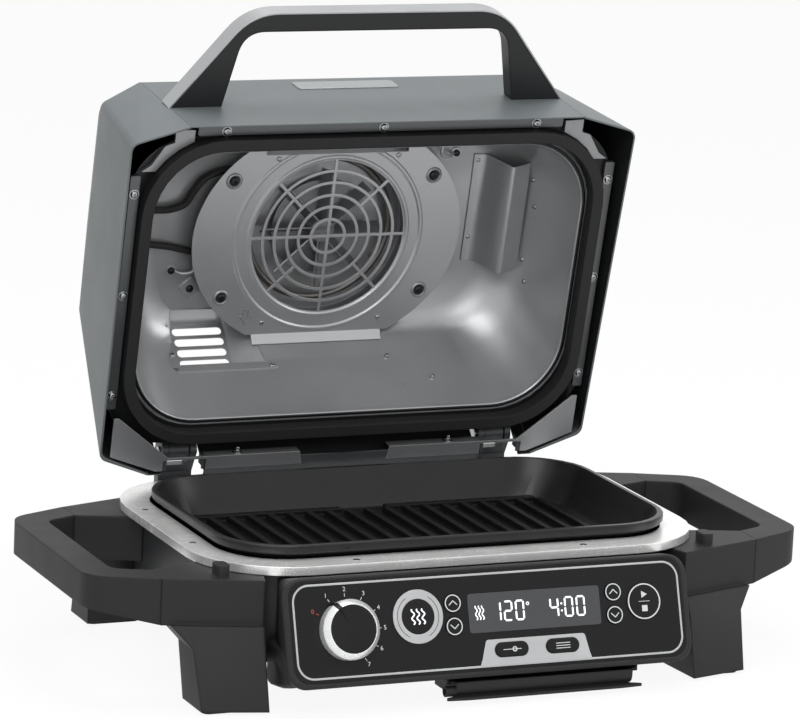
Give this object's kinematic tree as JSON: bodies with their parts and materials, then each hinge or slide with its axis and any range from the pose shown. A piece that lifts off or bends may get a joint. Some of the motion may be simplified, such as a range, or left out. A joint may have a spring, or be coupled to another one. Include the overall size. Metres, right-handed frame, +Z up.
{
  "type": "electric grill and smoker",
  "caption": "Countertop electric grill and smoker: ribbed plate in a steel ring, hinged deep lid with fan and vent, dial and button panel, splayed legs and loop handles.",
  "frame": {"origin": "middle of the footprint on the ground, below the centre of the box round the part with its lid open", "axes": "+X to the right over the side handles, +Y to the back, +Z up"},
  "size_m": [0.715, 0.5651, 0.5918],
  "materials": {
    "leg_plastic": "fine matte texture",
    "gloss_fascia": "gloss",
    "button_black": "satin",
    "bright_trim": "satin chrome",
    "stainless": "brushed",
    "nonstick": "satin ceramic coating",
    "lid_paint": "satin paint",
    "liner_metal": "satin",
    "light_plate": "satin",
    "dark_strip": "satin",
    "seal": "matte",
    "tub_paint": "satin",
    "handle_black": "satin",
    "band": "brushed",
    "glass": "gloss",
    "board": "solder mask",
    "element": "oxidised",
    "motor": "satin",
    "bracket_steel": "satin",
    "screw_steel": "bright"
  },
  "bodies": {
    "base": {"base_tub": "tub_paint", "trim_ring": "stainless", "base_liner": "liner_metal", "lower_element": "element", "grill_plate": "nonstick", "tray_rails": "bracket_steel", "front_leg_left": "leg_plastic", "front_leg_right": "leg_plastic", "rear_leg_left": "leg_plastic", "rear_leg_right": "leg_plastic", "side_handle_left": "leg_plastic", "side_handle_right": "leg_plastic", "foot_pads": "seal", "panel_housing": "leg_plastic", "panel_fascia": "gloss_fascia", "panel_line": "bright_trim", "display_window": "glass", "control_board": "board", "dial_encoder": "motor", "smoke_bezel": "bright_trim", "probe_plate": "bright_trim", "drawer_rails": "leg_plastic", "hinge_bracket_left": "bracket_steel", "hinge_bracket_right": "bracket_steel", "hinge_pins": "screw_steel", "cord_gland": "seal"},
    "lid": {"lid_knuckles": "bracket_steel", "lid_shell": "lid_paint", "lid_cap_left": "lid_paint", "lid_cap_right": "lid_paint", "lid_liner": "liner_metal", "lid_strips": "dark_strip", "corner_gussets": "light_plate", "rear_brackets": "light_plate", "lid_gasket": "seal", "fan_cover": "liner_metal", "fan_drum": "liner_metal", "fan_motor": "motor", "upper_element": "element", "vent_plate": "liner_metal", "smoke_baffle": "liner_metal", "pellet_box": "handle_black", "lid_handle": "handle_black", "handle_band": "band", "lid_screws": "screw_steel"},
    "dial": {"dial_cap": "button_black", "dial_ring": "bright_trim"},
    "fan": {"fan_blades": "light_plate"},
    "pellet_flap": {"pellet_door": "lid_paint"},
    "tray": {"grease_tray": "tub_paint"},
    "drawer": {"probe_drawer": "leg_plastic", "probe": "button_black"},
    "smoke_button_key": {"smoke_button": "button_black"},
    "temp_up_key": {"temp_up": "button_black"},
    "temp_down_key": {"temp_down": "button_black"},
    "time_up_key": {"time_up": "button_black"},
    "time_down_key": {"time_down": "button_black"},
    "start_button_key": {"start_button": "button_black"},
    "manual_button_key": {"manual_button": "button_black"},
    "preset_button_key": {"preset_button": "button_black"}
  },
  "joints": [
    {"name": "lid_hinge", "type": "hinge", "parent": "base", "child": "lid", "pos_m": [0, 0.11219, 0.1526], "axis": [1, 0, 0], "range_deg": [0, 78.4]},
    {"name": "dial_turn", "type": "hinge", "parent": "base", "child": "dial", "pos_m": [-0.1403, -0.26191, 0.07439], "axis": [0, -0.9455, 0.3256], "range_deg": [-180, 30]},
    {"name": "fan_spin", "type": "hinge", "parent": "lid", "child": "fan", "pos_m": [0, 0.16019, 0.34845], "axis": [0, 0.9796, 0.2011], "continuous": true},
    {"name": "pellet_flap_turn", "type": "hinge", "parent": "lid", "child": "pellet_flap", "pos_m": [0.256, 0.0819, 0.31707], "axis": [0, 0.2011, -0.9796], "range_deg": [0, 80]},
    {"name": "tray_slide", "type": "slide", "parent": "base", "child": "tray", "axis": [0, 1, 0], "range_m": [0, 0.2]},
    {"name": "drawer_slide", "type": "slide", "parent": "base", "child": "drawer", "axis": [0, -1, 0], "range_m": [0, 0.04]},
    {"name": "smoke_button_press", "type": "slide", "parent": "base", "child": "smoke_button_key", "axis": [0, 0.9455, -0.3256], "range_m": [0, 0.001], "stiffness_N_per_m": 300, "springref_m": -0.001},
    {"name": "temp_up_press", "type": "slide", "parent": "base", "child": "temp_up_key", "axis": [0, 0.9455, -0.3256], "range_m": [0, 0.001], "stiffness_N_per_m": 300, "springref_m": -0.001},
    {"name": "temp_down_press", "type": "slide", "parent": "base", "child": "temp_down_key", "axis": [0, 0.9455, -0.3256], "range_m": [0, 0.001], "stiffness_N_per_m": 300, "springref_m": -0.001},
    {"name": "time_up_press", "type": "slide", "parent": "base", "child": "time_up_key", "axis": [0, 0.9455, -0.3256], "range_m": [0, 0.001], "stiffness_N_per_m": 300, "springref_m": -0.001},
    {"name": "time_down_press", "type": "slide", "parent": "base", "child": "time_down_key", "axis": [0, 0.9455, -0.3256], "range_m": [0, 0.001], "stiffness_N_per_m": 300, "springref_m": -0.001},
    {"name": "start_button_press", "type": "slide", "parent": "base", "child": "start_button_key", "axis": [0, 0.9455, -0.3256], "range_m": [0, 0.001], "stiffness_N_per_m": 300, "springref_m": -0.001},
    {"name": "manual_button_press", "type": "slide", "parent": "base", "child": "manual_button_key", "axis": [0, 0.9455, -0.3256], "range_m": [0, 0.001], "stiffness_N_per_m": 300, "springref_m": -0.001},
    {"name": "preset_button_press", "type": "slide", "parent": "base", "child": "preset_button_key", "axis": [0, 0.9455, -0.3256], "range_m": [0, 0.001], "stiffness_N_per_m": 300, "springref_m": -0.001}
  ]
}
